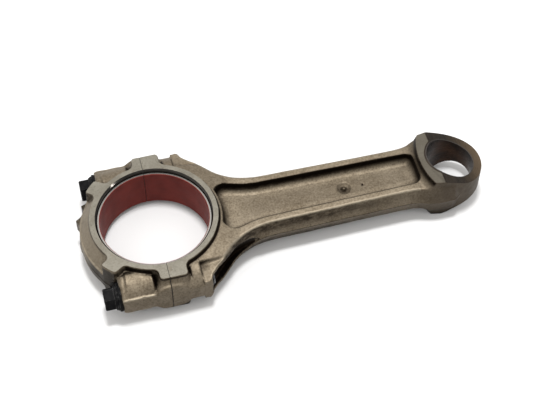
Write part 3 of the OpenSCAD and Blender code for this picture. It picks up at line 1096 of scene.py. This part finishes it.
def washer(name):
    t = WASHER_X - SEAT_X - CONTACT
    c = 0.5
    return revolve(name, [
        (HOLE_R, 0.3), (HOLE_R + 0.3, CONTACT), (WASHER_R - c, CONTACT), (WASHER_R, c), (WASHER_R, t - c),
        (WASHER_R - c, t), (HOLE_R + 0.3, t), (HOLE_R, t - 0.3),
    ], n=96)


def bolt(name, turn):
    """A bolt whose hexagon is turned by that many degrees."""
    low = WASHER_X - SEAT_X + CONTACT
    collar_top = low + COLLAR_H
    top = HEAD_X - SEAT_X
    hex_r = HEX_S / math.sqrt(3)
    # a hexagon whose corners are turned off at the top
    corners = [(hex_r * math.cos(t), hex_r * math.sin(t)) for t in np.radians(turn + np.arange(6) * 60)]
    head = prism(name, corners, (top - low - 0.4) / 2, lambda u, v, w: (u, v, w + (top + low + 0.4) / 2))
    dome = [(0, low), (hex_r + 2, low), (hex_r + 2, top - 2.2), (hex_r - 1.6, top), (0, top)]
    combine(head, revolve("dome", dome, n=96), "INTERSECT")
    # collar, a cone that spreads to a thin rim
    collar = [
        (0, low), (COLLAR_R - 0.3, low), (COLLAR_R, low + 0.3), (COLLAR_R, low + 1.1),
        (COLLAR_R - 0.4, low + 1.5), (hex_r + 0.1, collar_top - 0.3), (hex_r - 1.2, collar_top + 0.1),
        (0, collar_top + 0.1),
    ]
    combine(head, revolve("collar", collar, n=96), "UNION")
    # waisted shank down to the thread
    shank_end = -SEAT_X + 1.0
    shank_r = BOLT_R - WAIST
    shank = [
        (0, shank_end), (shank_r, shank_end), (shank_r, low - 1.2), (BOLT_R, low - 0.4),
        (BOLT_R, low + 0.5), (0, low + 0.5),
    ]
    combine(head, revolve("shank", shank, n=64), "UNION")
    combine(head, thread("thread", shank_end + 0.5, -SEAT_X - TIP_X), "UNION")
    return head


def thread(name, top, tip):
    """The threaded end of a bolt, whose groove fades out towards the shank, with a chamfered tip."""
    around = 40
    depth = 0.62
    run_out = 1.6
    tip_chamfer = 1.2
    heights = np.arange(top, tip, -THREAD_PITCH / 8)
    heights = np.append(heights, tip)
    angle = np.arange(around) / around * 2 * math.pi
    phase = heights[:, None] / THREAD_PITCH - angle[None, :] / (2 * math.pi)
    groove = np.abs((phase % 1) - 0.5) * 2
    groove = np.clip(groove * 1.25 - 0.12, 0, 1)
    fade = climb(top - heights, run_out)[:, None]
    radius = BOLT_R - 0.02 - depth * (1 - groove) * fade - WAIST * (1 - fade)
    radius -= np.clip(tip_chamfer - (heights - tip), 0, tip_chamfer)[:, None] * 0.9
    level = np.broadcast_to(heights[:, None], radius.shape)
    verts = np.stack([radius * np.cos(angle), radius * np.sin(angle), level], 2)
    i, j = np.meshgrid(np.arange(len(heights) - 1), np.arange(around), indexing="ij")
    here, below = i * around, (i + 1) * around
    j2 = (j + 1) % around
    quads = np.stack([here + j, here + j2, below + j2, below + j], 2).reshape(-1, 4)
    obj = mesh_object(name, verts.reshape(-1, 3), quads)
    close_and_turn_out(obj)
    return obj


for side_name, side, turn in (("left", 1, 28), ("right", -1, -40)):
    disc = washer(f"washer_disc_{side_name}")
    lay_on_seat(disc, side)
    paint(disc, [("black_steel", everywhere)])
    shade(disc)
    place(disc, f"washer_{side_name}", f"washer_{side_name}")
    screw = bolt(f"cap_bolt_{side_name}", turn)
    lay_on_seat(screw, side)
    paint(screw, [("black_steel", everywhere), ("thread_steel", lambda c, n: c[:, 0] > -0.5)])
    shade(screw)
    place(screw, f"bolt_{side_name}", f"bolt_{side_name}")

# --- floor, light and camera ---


def pale_floor():
    """Matt pale grey, hardly mottled, with a faint glow that keeps its far parts near white."""
    n = Nodes("pale_floor")
    colour = (0.50, 0.50, 0.50)
    tint = n.mix(n.noise(300, 2, 0.5), colour, tuple(0.985 * c for c in colour))
    n.shader.inputs["Emission Color"].default_value = (1, 1, 1, 1)
    n.shader.inputs["Emission Strength"].default_value = 0.04
    return n.finish(tint, 0.9, 0.0)


FLOOR_REACH = 6000
floor_corners = [(FLOOR_REACH * x, FLOOR_REACH * y, -HALF_T) for x, y in ((-1, -1), (1, -1), (1, 1), (-1, 1))]
floor = mesh_object("floor", floor_corners, [(0, 1, 2, 3)])
floor.data.materials.append(pale_floor())


def soft_box(name, stand, aim, size, power):
    """A rectangular light that stands at one point and faces another, in metres."""
    light = bpy.data.lights.new(name, "AREA")
    light.shape = "RECTANGLE"
    light.size, light.size_y = size
    light.energy = power
    lamp = bpy.data.objects.new(name, light)
    lamp.location = stand
    lamp.rotation_mode = "QUATERNION"
    lamp.rotation_quaternion = (Vector(aim) - Vector(stand)).to_track_quat("-Z", "Y")
    bpy.context.scene.collection.objects.link(lamp)


world = bpy.data.worlds.new("studio")
world.use_nodes = True
bpy.context.scene.world = world
sky = world.node_tree
# one big soft light above and behind, fading to a dimmer room in front
direction = sky.nodes.new("ShaderNodeTexCoord").outputs["Generated"]
toward = sky.nodes.new("ShaderNodeVectorMath")
toward.operation = "DOT_PRODUCT"
toward.inputs[1].default_value = (-0.28, 0.30, 0.92)
sky.links.new(direction, toward.inputs[0])
rise = sky.nodes.new("ShaderNodeMapRange")
rise.interpolation_type = "SMOOTHSTEP"
for socket, value in (("From Min", 0.0), ("From Max", 0.9), ("To Min", 0.70), ("To Max", 1.65)):
    rise.inputs[socket].default_value = value
sky.links.new(toward.outputs["Value"], rise.inputs["Value"])
sky.links.new(rise.outputs[0], sky.nodes["Background"].inputs["Strength"])
sky.nodes["Background"].inputs["Color"].default_value = (1.0, 0.985, 0.965, 1)
# the key light throws the shadow, and the other one glints on the chamfer round the shells
soft_box("key", (0.15, 0.22, 3.2), (0.12, 0.0, 0.0), (0.48, 0.48), 118)
soft_box("glint", (1.42, -0.78, 0.92), (-0.02, 0.04, 0.02), (0.12, 0.10), 3)

# the photo's view, fitted to the two bores, the shank and the machined pads
camera_data = bpy.data.cameras.new("camera")
camera_data.sensor_width = 36
camera_data.lens = 88.2
camera_data.clip_start = 0.05
camera_data.clip_end = 50
camera = bpy.data.objects.new("camera", camera_data)
camera.location = (-0.0722, -0.6750, 0.9599)
camera.rotation_mode = "QUATERNION"
camera.rotation_quaternion = Vector((0.14840, 0.57360, -0.80558)).to_track_quat("-Z", "Y")
bpy.context.scene.collection.objects.link(camera)
bpy.context.scene.camera = camera
bpy.context.scene.view_settings.view_transform = "Standard"
